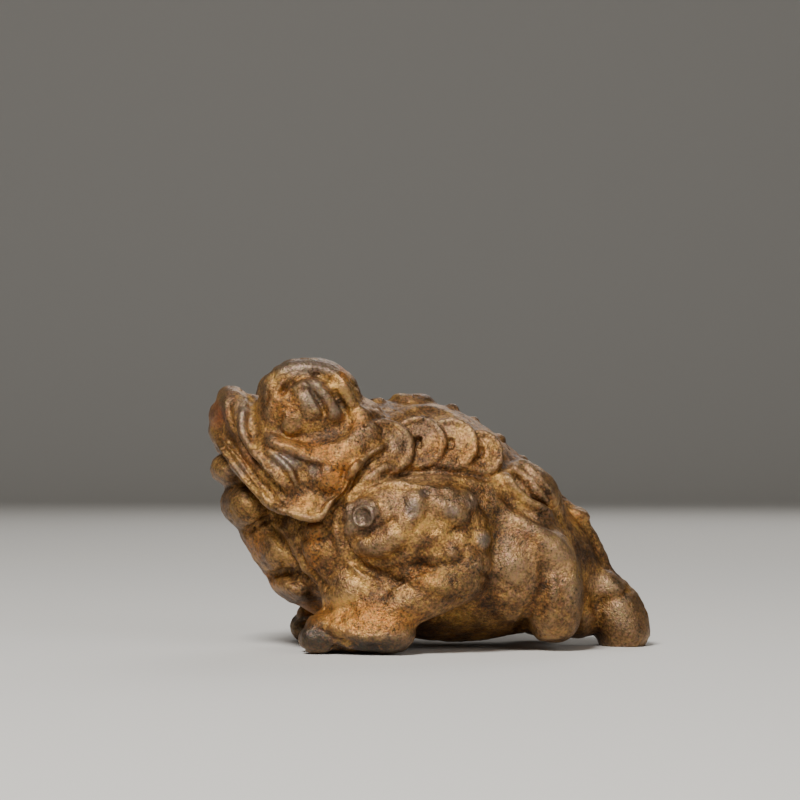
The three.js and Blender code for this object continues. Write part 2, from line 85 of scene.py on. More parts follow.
# The masses of the toad, as in the solid, and low fills behind the cheek, beside the first coin and under
# the shoulder. y is for the right side.
body = {
    # vertical sections along the toad: x, top, widest height, bottom, half width
    "trunk": [
        [-16.6, 11.6, 11.4, 11.2, 0], [-16, 13.6, 11.4, 9.6, 4.2], [-13.6, 17, 10.4, 6.2, 8],
        [-11, 20.4, 10, 4, 9.8], [-7.5, 24, 10.6, 2.7, 11], [-3, 24.6, 10.4, 1.2, 11.6],
        [1.5, 24.1, 9.6, 0.5, 11.9], [5.5, 22, 8.8, 0.6, 11.7], [9.5, 18.7, 8, 1.5, 10.6],
        [12.6, 15, 7.2, 2, 8.4], [15.2, 11.8, 7.4, 2.6, 4.6], [17, 8.6, 6.4, 3.4, 2.4],
        [17.8, 6.6, 6, 5.4, 0],
    ],
    "head": [
        [-21.4, 22.6, 22.2, 21.8, 0], [-21, 24, 22, 20.8, 2.8], [-19.8, 25, 21.2, 19.2, 5],
        [-18.4, 25.2, 19.6, 17.2, 6.8], [-16.3, 25, 17.6, 14.6, 8.8], [-13.4, 25.2, 16.8, 13.2, 10.4],
        [-11, 25.4, 17.2, 14.2, 11.2], [-8.9, 25.2, 18.6, 16.6, 11.3], [-6.6, 24.6, 20.4, 19, 10.4],
        [-4.6, 23.6, 21.4, 20.4, 6.5], [-4, 22.8, 21.6, 21.2, 0],
    ],
    # ellipsoids on the middle line: snout, scutes down the throat and chest, and the root of the third leg
    "middle": [
        {"at": [-19.9, 0, 17.7], "radii": [2.1, 3.8, 1.7]},
        {"at": [-17.9, 0, 14.1], "radii": [3, 5.4, 2.5], "tilt": -20},
        {"at": [-15, 0, 9.8], "radii": [2.65, 6.2, 2.65], "tilt": -35},
        {"at": [-13.5, 0, 5.9], "radii": [2.8, 6.4, 1.4], "tilt": -22},
        {"at": [-20.3, 0, 23], "radii": [1.8, 3.4, 1.8]},
        {"at": [15, 0, 3.2], "radii": [2.2, 3.4, 2.6]},
    ],
    # ellipsoids on both sides: brow, neck, cheek, shoulder, leg root, flank, haunch, rump, and the low fills
    "sides": [
        {"at": [-12.3, 5.6, 23.4], "radii": [5.25, 4.6, 5.3], "square": 0.92},
        {"at": [-7.5, 5, 22.4], "radii": [2.6, 4.2, 2.4]},
        {"at": [-7.4, 7, 20.4], "radii": [2.8, 3.7, 2.6]},
        {"at": [-6.2, 8, 16.5], "radii": [3.8, 3.5, 1.9], "tilt": 38},
        {"at": [-9.3, 7.3, 14.8], "radii": [2, 3.1, 2.4]},
        {"at": [-12.2, 6.8, 17.8], "radii": [6.2, 3.8, 4.2], "tilt": -18},
        {"at": [-2.7, 8.2, 12.3], "radii": [7.2, 5.4, 4.9], "tilt": 6, "square": 0.85},
        {"at": [-6.4, 8, 5.6], "radii": [5, 4.4, 4.4]},
        {"at": [6.8, 7.4, 8.8], "radii": [4.8, 4.6, 6.2], "tilt": 12},
        {"at": [11.3, 6.4, 5.9], "radii": [3.1, 4.8, 5.3], "tilt": 4, "square": 0.9},
        {"at": [9.4, 7.9, 10.4], "radii": [5, 3.8, 2.7], "tilt": -38},
        {"at": [-10.3, 7.8, 16.6], "radii": [2.2, 3.6, 2.2]},
        {"at": [-12.5, 8.6, 14.6], "radii": [2.6, 2.1, 1.4]},
        {"at": [9.3, 4.2, 15.6], "radii": [4.3, 3.6, 2.5], "tilt": -44},
        {"at": [-8.2, 8.6, 18.2], "radii": [1.7, 2.8, 2.3]},
        {"at": [-3.1, 9.4, 7.9], "radii": [2.7, 3.3, 1.9]},
        {"at": [-6.6, 7.6, 19], "radii": [2.2, 3.1, 1.4], "tilt": 45},
    ],
    # round limbs: x, y, z, radius
    "throat": [[-17.6, 0, 17.6, 3.2], [-15.2, 0, 13.6, 4.4], [-12.6, 0, 9.6, 4.6], [-10.4, 0, 6.4, 3.4]],
    "tail": [[11.6, 0, 14.2, 1.8], [14.5, 0, 12.1, 1.65], [15.9, 0, 9.6, 1.6], [16.8, 0, 6.8, 1.9]],
    "thirdLeg": [[16, 0, 8, 1.6], [17.2, 0, 5.8, 2.2], [18.7, 0, 3.6, 2.75], [19.5, 0, 1.6, 2.85]],
    "foreleg": [
        [0.6, 9.6, 10, 3.8], [2.2, 10.6, 8, 3], [0.6, 11.6, 6.6, 2.3],
        [-2.4, 12, 5.2, 2.1], [-5.2, 11.6, 3.9, 2.1], [-7.6, 10.8, 3.1, 2],
    ],
    "foot": [
        [-4.8, 11.8, 2.4, 2.4], [-7.5, 11.2, 2.4, 2.3], [-9.8, 10, 2.4, 2], [-11.3, 8.8, 2.6, 1.6],
    ],
    "toes": [
        [[-10.4, 10.3, 1.7, 1.4], [-12, 10.1, 1.5, 1.6]],
        [[-10.2, 7.6, 1.6, 1.4], [-12.4, 7, 1.3, 1.25]],
        [[-9.4, 5.6, 1.5, 1.3], [-11.4, 4.6, 1.2, 1.1]],
    ],
    "upperLip": [
        [-19.9, -0.8, 24.7, 1.5], [-19.8, 2.6, 24, 1.5], [-18.9, 5, 21.8, 1.2],
        [-17.2, 7, 18.4, 1], [-15.2, 8.8, 15.9, 0.8], [-13.3, 9.8, 14.2, 0.8],
    ],
    "lowerLip": [
        [-21.3, -0.6, 21.5, 0.9], [-20.4, 3.2, 20, 0.9], [-18.9, 5.8, 17.7, 0.8],
        [-16.4, 8.2, 14.6, 0.7], [-13.2, 10, 13.6, 0.8], [-11.6, 9.9, 13.8, 0.9], [-10, 9.8, 15.2, 0.7],
    ],
    "neck": [
        [-10.4, 9.2, 13.2, 1], [-9.1, 9.9, 14.9, 1.2], [-8.1, 9.9, 16.2, 1.2], [-7, 9.8, 17.3, 1.1],
        [-5.5, 9.6, 18.2, 0.9],
    ],
    "voxel": 0.2,        # mesh size while the masses flow together, mm
    "softening": 26,     # turns of smoothing
}

# Raised and sunk lines on the sides: half width, height and places x, z along each, in mm. A power over 2
# makes the top of a line flatter, and fade is the share of its length over which each end runs out.
headLines = {
    "browBand": {"half": 0.95, "height": 0.45, "power": 4, "at": [[-17, 24.6], [-16.6, 25.8], [-15.7, 26.8],
        [-14.6, 27.4], [-13.2, 27.7], [-11.8, 27.7], [-10.6, 27.4], [-9.6, 26.7], [-8.9, 25.7], [-8, 24.4]]},
    "browCut": {"half": 0.45, "height": -0.6, "at": [[-15.7, 24.5], [-15.1, 25.4], [-14.2, 26.1],
        [-13, 26.6], [-11.7, 26.7], [-10.6, 26.4], [-9.6, 25.7]]},
    "eyeCut": {"half": 0.32, "height": -0.35, "at": [[-15.1, 23.3], [-15.6, 22.1], [-15.1, 21], [-14, 20.7],
        [-13.1, 21.3]]},
    "lidLow": {"half": 0.5, "height": 0.28, "at": [[-17, 23.2], [-17, 21.8], [-16.5, 20.9], [-15.6, 20.4],
        [-14.4, 20.1], [-13.3, 19.6], [-12, 19.3], [-10.7, 19.5]]},
    "lockThin": {"half": 0.32, "height": 0.3, "at": [[-14.1, 25.1], [-13.5, 24.1], [-13, 23.1],
        [-12.6, 22.2]]},
    "lockFront": {"half": 0.85, "height": 0.6, "power": 4, "at": [[-13.9, 26.3], [-13.2, 25.3],
        [-12.7, 24.4], [-12.2, 23.6], [-11.7, 22.6]]},
    "lockMiddle": {"half": 0.85, "height": 0.65, "power": 4, "at": [[-13.4, 26.5], [-12, 25.9],
        [-11.2, 25.2], [-10.6, 24.2], [-10.2, 23.2], [-9.8, 22.2]]},
    "lockBack": {"half": 0.9, "height": 0.5, "power": 4, "at": [[-10.6, 26.3], [-9.5, 25.4], [-8.7, 24.4],
        [-7.9, 23.1]]},
    "lockCutBack": {"half": 0.38, "height": -0.55, "at": [[-11.3, 26.1], [-10.2, 25], [-9.5, 24],
        [-8.7, 22.7]]},
    "lockCut": {"half": 0.3, "height": -0.5, "at": [[-12.7, 25.7], [-11.9, 24.6], [-11.4, 23.7],
        [-11, 22.8]]},
    "lipCrest": {"half": 0.55, "height": 0.5, "at": [[-19.2, 25.4], [-18.7, 24.3], [-18.8, 23.1],
        [-19, 21.9], [-18.7, 20.8], [-18, 19.7], [-17.1, 18.5], [-15.8, 17], [-14.2, 15.4]]},
    "mouthCut": {"half": 0.5, "height": -0.5, "at": [[-19.9, 24.8], [-20.2, 23.5], [-20, 22.1],
        [-19.4, 20.9], [-18.7, 19.7], [-17.9, 18.6], [-16.8, 17.3], [-15.7, 16], [-14.5, 14.7]]},
    "lipLine": {"half": 0.3, "height": 0.42, "at": [[-21.5, 21.3], [-20.8, 20.5], [-19.9, 19.3],
        [-19.1, 18.2], [-18.3, 17.2], [-17.4, 15.9], [-16.8, 14.9], [-16.1, 14.1]]},
    "lipLineTwo": {"half": 0.28, "height": 0.35, "at": [[-21.6, 20.8], [-20.8, 19.6], [-19.8, 18.2],
        [-18.7, 16.8], [-17.3, 14.9]]},
    "lipCut": {"half": 0.22, "height": -0.3, "at": [[-21.4, 21], [-20.4, 19.6], [-19.4, 18.2], [-18, 16.3],
        [-16.6, 14.4]]},
    "cheekRidge": {"half": 0.34, "height": 0.42, "at": [[-16.9, 20.5], [-15.8, 20], [-14.3, 19.6],
        [-13.3, 19.1], [-12.2, 18.7], [-10.6, 18.4]]},
    "hollowRim": {"half": 0.38, "height": 0.36, "at": [[-17, 19.7], [-15.8, 18.9], [-15, 18.1],
        [-14.3, 17.1], [-13.6, 16], [-13.1, 15.2]]},
    "cheekFold": {"half": 0.28, "height": 0.4, "at": [[-17, 18.3], [-16, 17.5], [-15.3, 16.6],
        [-14.5, 15.6]]},
    "cheekFoldTwo": {"half": 0.28, "height": 0.36, "at": [[-16.3, 18.2], [-15.2, 17.1], [-14.3, 16],
        [-13.6, 15]]},
    "cheekFoldThree": {"half": 0.3, "height": 0.25, "fade": 0.5, "at": [[-14.9, 18.3], [-14.1, 17],
        [-13.6, 15.5]]},
    "cheekFoldFour": {"half": 0.28, "height": 0.22, "fade": 0.5, "at": [[-13.4, 17.6], [-13.2, 16.4],
        [-13, 15.1]]},
    "cheekFoldFive": {"half": 0.28, "height": 0.14, "fade": 0.5, "at": [[-12.5, 16.7], [-12.3, 15.5],
        [-12.2, 14.4]]},
    "jawFront": {"half": 0.35, "height": 0.35, "at": [[-15.8, 15.2], [-14.5, 14.3], [-13.4, 13.9],
        [-12.3, 13.7]]},
    "jawRim": {"half": 0.36, "height": 0.78, "fade": 0.12, "at": [[-16.5, 14.3], [-15.3, 13.9],
        [-14.2, 13.6], [-13.2, 13.3], [-12.1, 13.2], [-11.4, 13.6], [-10.7, 14.4], [-9.9, 15.1], [-9.3, 16],
        [-9, 16.9], [-8.5, 17.8], [-7.8, 18.5]]},
    "jawCut": {"half": 0.3, "height": -0.35, "at": [[-13.4, 12.8], [-12, 12.6], [-11, 13.1], [-10.1, 14.2],
        [-9.4, 15.1], [-8.8, 16], [-8.4, 16.9], [-7.9, 17.7], [-7.2, 18.4]]},
}
bodyLines = {
    "neckRoll": {"half": 0.6, "height": 0.3, "at": [[-9.6, 13.2], [-8.9, 14.4], [-8.2, 15.5], [-7.3, 16.6],
        [-6.1, 17.5], [-4.8, 18.3]]},
    "coinCord": {"half": 0.7, "height": 0.2, "at": [[-6.8, 21.6], [-5.4, 22.4], [-4.4, 22.6], [-3.4, 23.2],
        [-2.3, 23.6], [-0.8, 23.8], [0.8, 23.4], [2.6, 22.5]]},
    "coinCut": {"half": 0.6, "height": -0.64, "at": [[-6.3, 16.8], [-5.1, 17.1], [-4, 17.4], [-2.9, 17.6],
        [-1, 17.7], [0.9, 17.6], [2.6, 17.4], [4.2, 17], [6, 17]]},
    "shoulderTop": {"half": 0.35, "height": 0.34, "at": [[-8.4, 14.9], [-7.5, 15.5], [-6.7, 15.8],
        [-5.2, 16.3], [-4, 16.3], [-2.9, 16.1], [-1.6, 16], [-0.4, 15.7]]},
    "bossCut": {"half": 0.35, "height": -0.34, "at": [[-8.3, 11.2], [-6.9, 12], [-5.6, 12.5], [-4.3, 13.3]]},
    "lobeCut": {"half": 0.45, "height": -0.3, "at": [[-8.7, 9.4], [-7.4, 9], [-5.5, 9], [-4.2, 9.8],
        [-3, 10.5]]},
    "armEdge": {"half": 0.4, "height": 0.3, "at": [[-5.2, 5.9], [-4.2, 6.3], [-3.4, 6.7], [-2.6, 7.2],
        [-1.8, 7.7]]},
    "armCut": {"half": 0.5, "height": -0.08, "at": [[-4.9, 7.4], [-3.6, 8.1], [-2.2, 8.8], [-0.8, 9.3]]},
    "wrinkle": {"half": 0.45, "height": -0.3, "at": [[3.4, 7.9], [4.5, 7.6], [5.5, 7], [6.7, 6.3],
        [8.2, 5.7]]},
    "flankCut": {"half": 0.8, "height": -0.15, "at": [[5.8, 14.6], [5.7, 13.2], [5.5, 11.7], [5.1, 10.2],
        [4.6, 8.9]]},
    "wrinkleTwo": {"half": 0.45, "height": -0.15, "at": [[3.4, 7], [5, 6.3], [6.9, 5.3]]},
    "thighRidge": {"half": 1.4, "height": 0.3, "at": [[5.6, 14], [8.5, 12.4], [10.9, 10.8], [12.5, 9.1],
        [13.2, 7], [13.1, 4.4]]},
    "haunchCut": {"half": 0.8, "height": -0.19, "at": [[10.3, 9.2], [10, 6.8], [10, 4.6], [9.8, 2.4]]},
    "haunchCleft": {"half": 0.7, "height": -0.38, "at": [[8.1, 0.8], [8.2, 2.2], [8.5, 3.6], [8.8, 4.8]]},
    "ankleCut": {"half": 0.9, "height": -0.17, "at": [[15.6, 4.2], [17.2, 4.5], [18.8, 5.2], [20, 6.2]]},
    "rumpCut": {"half": 0.3, "height": -0.35, "at": [[8, 18.6], [9.5, 17.1], [10.8, 15.3], [11.4, 14.1]]},
    "rumpCutTwo": {"half": 0.38, "height": -0.5, "at": [[7, 18.3], [7.8, 16.7], [9.2, 15], [10.8, 13.7]]},
    "rumpBand": {"half": 0.62, "height": 0.86, "at": [[6.2, 17.3], [6.9, 16.1], [7.9, 15], [9.4, 13.9],
        [11.5, 12.9]]},
    "rumpGroove": {"half": 0.8, "height": -0.4, "at": [[5.9, 15.6], [7.6, 13.9], [9.8, 12.6], [12.4, 11.6]]},
    "scuteCut": {"half": 0.5, "height": -0.52, "at": [[-18.6, 11.4], [-17.3, 12.3], [-15.8, 13]]},
    "leafCut": {"half": 0.5, "height": -0.52, "at": [[-16.4, 7], [-14.7, 7.8], [-13.2, 7.4], [-11.4, 5.9]]},
    "chestCut": {"half": 0.6, "height": -0.56, "at": [[-17.2, 13], [-15.3, 10.9], [-13.9, 8.7],
        [-12.4, 6.7]]},
    "chestCutTwo": {"half": 0.5, "height": -0.34, "at": [[-13.7, 11.4], [-13.2, 9.1], [-11.8, 7.5],
        [-10.1, 5.8]]},
    "shoulderRim": {"half": 0.45, "height": 0.41, "at": [[-10.1, 13.8], [-10, 12], [-9.6, 10.5], [-9, 9.1],
        [-8.2, 8.1], [-6.8, 7.1]]},
    "shoulderCut": {"half": 0.5, "height": -0.49, "at": [[-9.5, 14.2], [-9.5, 11.9], [-9.1, 10.3],
        [-8.4, 9.1], [-7.2, 8.2], [-5.4, 7.5]]},
    "footEdge": {"half": 0.5, "height": 0.22, "at": [[-13, 3], [-11.9, 3.1], [-10.6, 2.7], [-9.2, 2.2],
        [-7.7, 1.8], [-5.9, 1.7], [-4.1, 1.8], [-3, 2.4]]},
    "soleCut": {"half": 0.4, "height": -0.22, "at": [[-12.8, 2.3], [-11.7, 2.4], [-10.5, 1.8], [-9.2, 1.3],
        [-7.7, 0.9], [-5.9, 0.8], [-4.1, 0.9]]},
    "soleArch": {"half": 0.5, "height": -0.45, "at": [[-10.6, 0.9], [-9.6, 0.5], [-8.4, 0.3], [-7, 0.1]]},
    "toeCut": {"half": 0.3, "height": -0.15, "fade": 0.5, "at": [[-11.4, 0.3], [-11.1, 1.2], [-10.7, 2]]},
}

# Raised and sunk fields on the sides: height, width of the sloping edge, how much higher the middle is, and
# a closed outline of x, z
fields = {
    "socket": {"height": -0.45, "edge": 1.3, "outline": [[-15.7, 24.9], [-14.8, 26], [-13.4, 26.5],
        [-11.6, 26.6], [-10, 26], [-8.9, 24.7], [-8.3, 22.9], [-8.6, 21.3], [-9.9, 20.3], [-12.2, 19.9],
        [-14.5, 20], [-16.3, 20.9], [-16.9, 22.2], [-16.5, 23.7]]},
    "cheekHollow": {"height": -0.3, "edge": 0.5, "outline": [[-16.9, 20.2], [-15.8, 19.7], [-14.3, 19.3],
        [-13.2, 18.8], [-12, 18.4], [-11.4, 18.1], [-11.5, 17.3], [-12.4, 16.8], [-13.1, 15.7], [-14.1, 17],
        [-15, 18.2], [-16.2, 19.2]]},
    "shoulder": {"height": 0.5, "edge": 0.9, "outline": [[-9.6, 12], [-9.3, 13.7], [-8.3, 15], [-6.9, 15.9],
        [-5, 16.4], [-2.9, 16.4], [-0.6, 16.2], [1.7, 15.9], [3.4, 14.7], [4.4, 12.9], [4.8, 10.9],
        [4.9, 8.6], [3.6, 6.2], [0.6, 5.6], [-2.6, 6.4], [-4.4, 7.4], [-5.6, 7.5], [-7.3, 8], [-8.9, 9.3]]},
    "bossPad": {"height": 0.45, "edge": 0.5, "dome": 0.05, "outline": [[-9.1, 12.4], [-8.9, 13.8],
        [-8.1, 14.6], [-7, 14.8], [-6.2, 14.4], [-5.9, 13.5], [-6.5, 12.6], [-7.5, 12.1], [-8.5, 11.2]]},
    "lobePad": {"height": 0.35, "edge": 0.9, "dome": 0.2, "outline": [[-8.1, 10.6], [-7.1, 11.3],
        [-6.2, 11.7], [-5.2, 12.2], [-4.2, 12.1], [-3.4, 11.3], [-4, 10.5], [-4.9, 9.9], [-6.2, 9.6],
        [-7.3, 9.8]]},
    "rump": {"height": 0.5, "edge": 0.5, "dome": 0.4, "outline": [[6.7, 17.3], [7.4, 18.4], [8.9, 18.5],
        [10.4, 17.6], [11.5, 16.4], [12, 15.1], [11.4, 13.9], [10.4, 14.2], [9, 15.3], [7.8, 16.7]]},
}

# Round bumps and pits on the sides: x, z, radius, height
bumps = {
    "eyeball": [[-14.4, 22.2, 1.3, 0.32]],
    "warts": [[-14.9, 22.6, 2.4, 0.3], [-2.7, 15, 1.1, 0.4], [-2.8, 13.9, 1.2, 0.35], [-3.7, 12.6, 1, 0.3],
        [-0.2, 14.5, 1, 0.25], [1.4, 13.6, 1.5, 0.5], [2.5, 14.8, 1.3, 0.45], [0.8, 15.5, 0.9, 0.25],
        [3.9, 11.1, 1.15, 0.5], [3.6, 13, 1, 0.25], [-1, 9.3, 0.9, 0.3], [0.8, 9.6, 1, 0.35],
        [-7.6, 23, 1, 0.3], [-5.6, 22.9, 0.9, 0.3], [6.6, 7.9, 1.9, 0.3], [17.8, 6.3, 1.6, 0.45],
        [-12, 11.8, 1.1, 0.45], [-12.3, 10.1, 1.2, 0.4], [-12.7, 8.3, 1, 0.3]],
    "pits": [[-1.8, 15.6, 0.7, -0.3], [-1.2, 12.7, 1.5, -0.3], [0.9, 12.1, 1.3, -0.25],
        [-0.9, 14.2, 0.7, -0.2]],
}

# What lies on the skin
relief = {
    # Each coin's plane follows the row of coins, tipped up by rise and turned to the front by lap, in
    # degrees, so that its rear edge lies on the next coin.
    "coin": {"thickness": 2.4, "rim": 0.55, "relief": 0.15, "groove": 0.07, "face": 0.1,
             "rise": 18, "lap": 11, "lift": 0.42},
    # half sizes of the square hole, the shares of them where its wall ends and starts, and how far it reaches
    "coinHole": {"width": 0.34, "height": 0.5, "inner": 0.9, "outer": 1.25, "reach": 0.8},
    # x, z, radius, and how deep the square hole still is
    "coins": [
        [-5.2, 19.8, 2.8, 0.3], [-1.95, 20.2, 2.72, 0.65], [1.2, 20.05, 2.72, 0.4], [4.15, 19.2, 2.35, 0.35],
    ],
    "boss": {"at": [-7.7, 13.3], "ring": 0.9, "half": 0.26, "height": 0.4, "bowl": -0.35},
    # warts on the back and the nostril knobs: x, y, radius, how deep the middle lies
    "backWarts": [[-5.3, 1.6, 0.9, 0.4], [2.0, 1.4, 0.9, 0.45], [4.3, 0.9, 0.75, 0.45], [6.7, 1.7, 0.85, 0.5],
                  [9.2, 1.0, 0.75, 0.45], [-18.2, 2.4, 0.9, 0.6]],
    "tailBoss": {"at": [14.6, 0, 13.1], "radii": [1.6, 1.9, 0.95], "tilt": -15},
    # the mound around the stick hole, as radius and height from its top
    "mound": {"x": -1.8, "top": 25.25,
              "profile": [[0, -2.4], [3.2, -2.4], [2.4, -0.8], [1.9, -0.2], [1.3, 0], [0, 0]]},
    "stickHole": {"radius": 1.1, "depth": 12.0},
    "voxel": 0.165,      # mesh size of the finished skin, mm
    "softening": 2,      # turns of smoothing
    "triangles": 190000,
}


# Points of a smooth curve through stations: between two of them the cubic of Catmull and Rom, whose
# slope at a station is half the way from the one before it to the one after it
def curveThrough(stations, count):
    places = np.asarray(stations, float)
    padded = np.vstack([2 * places[0] - places[1], places, 2 * places[-1] - places[-2]])
    along = np.linspace(0, len(places) - 1, count)
    piece = np.minimum(along.astype(int), len(places) - 2)
    s = (along - piece)[:, None]
    a, b, c, d = padded[piece], padded[piece + 1], padded[piece + 2], padded[piece + 3]
    return 0.5 * (2 * b + (c - a) * s + (2 * a - 5 * b + 4 * c - d) * s**2 + (3 * b - a - 3 * c + d) * s**3)


# A closed skin over a grid whose first and last rows are poles: two triangles for each cell of the grid
def gridShell(grid):
    rows, cols = grid.shape[:2]
    row, col = np.meshgrid(np.arange(rows - 1), np.arange(cols), indexing="ij")
    here = row * cols + col
    beside = row * cols + (col + 1) % cols
    lower = np.stack([here, beside, beside + cols], -1)[1:]
    upper = np.stack([here, beside + cols, here + cols], -1)[:-1]
    corners = np.vstack([lower.reshape(-1, 3), upper.reshape(-1, 3)])
    corners = np.where(corners < cols, 0, corners)
    last = (rows - 1) * cols
    corners = np.where(corners >= last, last, corners)
    return grid.reshape(-1, 3), corners


# A mass through vertical sections: v runs along the sections, and u turns once round each, which is the
# upper half of one ellipse and the lower half of another with the same widest line
def loft(sections, around=64, rings=8):
    at = curveThrough(sections, (len(sections) - 1) * rings + 1)
    turn = np.linspace(0, 2 * np.pi, around, endpoint=False)
    x, top, widest, bottom, half = [at[:, [i]] for i in range(5)]
    rise = np.sin(turn)[None, :]
    height = np.where(rise > 0, top - widest, widest - bottom)
    wide = np.maximum(half, 0) * np.cos(turn)[None, :]
    grid = np.stack([np.broadcast_to(x, wide.shape), wide, widest + height * rise], -1)
    grid[0] = grid[0].mean(0)
    grid[-1] = grid[-1].mean(0)
    return gridShell(grid)


# An ellipsoid: u turns round it, v runs from pole to pole. Each sine and cosine keeps its sign and is raised
# to the power square, which makes it boxier below 1. Then it tips its front down by tilt.
def ellipsoid(at, radii, tilt=0, side=1, around=48, square=1.0):
    turn = np.linspace(0, 2 * np.pi, around, endpoint=False)
    v, u = np.meshgrid(np.linspace(0, np.pi, around // 2 + 1), turn, indexing="ij")
    cu, su, cv, sv = [np.sign(w) * np.abs(w)**square for w in (np.cos(u), np.sin(u), np.cos(v), np.sin(v))]
    ball = np.stack([sv * cu, sv * su, cv], -1) * radii
    c, s = math.cos(math.radians(tilt)), math.sin(math.radians(tilt))
    x, y, z = np.moveaxis(ball, -1, 0)
    tipped = np.stack([x * c - z * s, y, x * s + z * c], -1)
    return gridShell(tipped + np.array(at) * [1, side, 1])


# A round profile carried along a curve of stations x, y, z, radius, with a half ball at each end, and
# stretched along y by wide
def tube(stations, side=1, around=20, steps=6, cap=5, wide=1.0):
    at = curveThrough(stations, (len(stations) - 1) * steps + 1)
    centre = at[:, :3] * [1, side, 1]
    radius = at[:, 3]
    tangent = np.gradient(centre, axis=0)
    tangent /= np.linalg.norm(tangent, axis=1)[:, None]
    guide = np.eye(3)[np.argmin(np.abs(tangent).max(0))]
    across = np.cross(tangent, guide)
    across /= np.linalg.norm(across, axis=1)[:, None]
    bend = np.linspace(np.pi / 2, 0, cap, endpoint=False)
    on = np.r_[np.zeros(cap, int), np.arange(len(at)), np.full(cap, len(at) - 1)]
    reach = np.r_[-np.sin(bend), np.zeros(len(at)), np.sin(bend[::-1])] * radius[on]
    girth = np.r_[np.cos(bend), np.ones(len(at)), np.cos(bend[::-1])] * radius[on]
    girth[[0, -1]] = 0
    turn = np.linspace(0, 2 * np.pi, around, endpoint=False)[None, :, None]
    other = np.cross(tangent, across)
    ring = across[on][:, None] * np.cos(turn) + other[on][:, None] * np.sin(turn)
    grid = (centre[on] + tangent[on] * reach[:, None])[:, None] + ring * girth[:, None, None] * [1, wide, 1]
    return gridShell(grid)


# A profile of radius and height turned once round an axis that points along facing
def turned(profile, point, facing, around=48):
    profile = np.asarray(profile, float)
    facing = facing / np.linalg.norm(facing)
    across = np.cross(facing, [0.0, 0.0, 1.0] if abs(facing[2]) < 0.9 else [1.0, 0.0, 0.0])
    across /= np.linalg.norm(across)
    other = np.cross(facing, across)
    turn = np.linspace(0, 2 * np.pi, around, endpoint=False)[None, :, None]
    ring = across * np.cos(turn) + other * np.sin(turn)
    grid = point + ring * profile[:, 0][:, None, None] + facing * profile[:, 1][:, None, None]
    return gridShell(grid)


# Puts several skins into one list of points and corners
def gather(shells):
    start = np.cumsum([0] + [len(points) for points, _ in shells])
    points = np.vstack([points for points, _ in shells])
    corners = np.vstack([corners + first for (_, corners), first in zip(shells, start)])
    return points, corners


# The mesh that an object's modifiers give, in place of the object
def applied(blank):
    depsgraph = bpy.context.evaluated_depsgraph_get()
    mesh = bpy.data.meshes.new_from_object(blank.evaluated_get(depsgraph))
    bpy.data.objects.remove(blank)
    return mesh


# Flows closed skins together: voxels of one size over all of them, then each point moves half the way to
# the middle of its neighbours, so many times
def fuse(name, shells, voxel, softening):
    points, corners = gather(shells)
    mesh = bpy.data.meshes.new(name)
    mesh.from_pydata(points, [], corners)
    mesh.update()
    blank = addObject(name, mesh)
    remesh = blank.modifiers.new("fuse", "REMESH")
    remesh.mode = "VOXEL"
    remesh.voxel_size = voxel
    soften = blank.modifiers.new("soften", "SMOOTH")
    soften.factor = 0.5
    soften.iterations = softening
    fused = applied(blank)
    bpy.data.meshes.remove(mesh)
    return fused


# What a mesh holds under one name, as an array with so many numbers in a row
def readRows(items, name, wide, kind=np.float32):
    rows = np.empty(len(items) * wide, kind)
    items.foreach_get(name, rows)
    return rows.reshape(-1, wide)


def pointsOf(mesh):
    return readRows(mesh.vertices, "co", 3).astype(float)


def normalsOf(mesh):
    return readRows(mesh.vertex_normals, "vector", 3).astype(float)


def putPoints(mesh, points):
    mesh.vertices.foreach_set("co", points.astype(np.float32).ravel())
    mesh.update()


# The masses flow into one body
def makeForm():
    shells = [loft(body["trunk"]), loft(body["head"]), tube(body["throat"]), tube(body["tail"])]
    shells.append(tube(body["thirdLeg"], wide=1.4))
    shells += [ellipsoid(**mass) for mass in body["middle"]]
    for side in (-1, 1):
        shells += [ellipsoid(side=side, **mass) for mass in body["sides"]]
        shells += [tube(body[limb], side) for limb in ("foreleg", "foot", "upperLip", "lowerLip", "neck")]
        shells += [tube(toe, side) for toe in body["toes"]]
    return fuse("form", shells, body["voxel"], body["softening"])


outside = 60        # mm, farther out than any part of the toad


# The skin's point met coming in from one side at x, z. Beyond the outline it is the one nearest to a place
# 4 mm beside the middle.
def onSide(tree, x, z, side):
    point = tree.ray_cast(Vector((x, side * outside, z)), Vector((0, -side, 0)))[0]
    if point is None:
        point = tree.find_nearest(Vector((x, side * 4, z)))[0]
    return np.array(point)


# The skin's point met coming down at x, y
def onTop(tree, x, y):
    return np.array(tree.ray_cast(Vector((x, y, outside)), Vector((0, 0, -1)))[0])


# A remeshed skin has four corners to each face
def treeOf(mesh):
    corners = readRows(mesh.loops, "vertex_index", 1, np.int32).reshape(-1, 4)
    return BVHTree.FromPolygons(pointsOf(mesh).tolist(), corners.tolist())


# The points near a path and, for each, its distance to the nearest straight piece of the path and the share
# of the path that lies before that place
def nearPath(points, path, reach):
    near = np.where(np.all((points > path.min(0) - reach) & (points < path.max(0) + reach), axis=1))[0]
    best = np.full(len(near), 1e9)
    share = np.zeros(len(near))
    for i, (start, end) in enumerate(zip(path[:-1], path[1:])):
        low, high = np.minimum(start, end) - reach, np.maximum(start, end) + reach
        close = np.where(np.all((points[near] > low) & (points[near] < high), axis=1))[0]
        away, piece = points[near[close]] - start, end - start
        t = np.clip(away @ piece / max(piece @ piece, 1e-9), 0, 1)
        gap = np.linalg.norm(away - t[:, None] * piece, axis=1)
        closer = gap < best[close]
        best[close[closer]] = gap[closer]
        share[close[closer]] = (i + t[closer]) / (len(path) - 1)
    return near, best, share


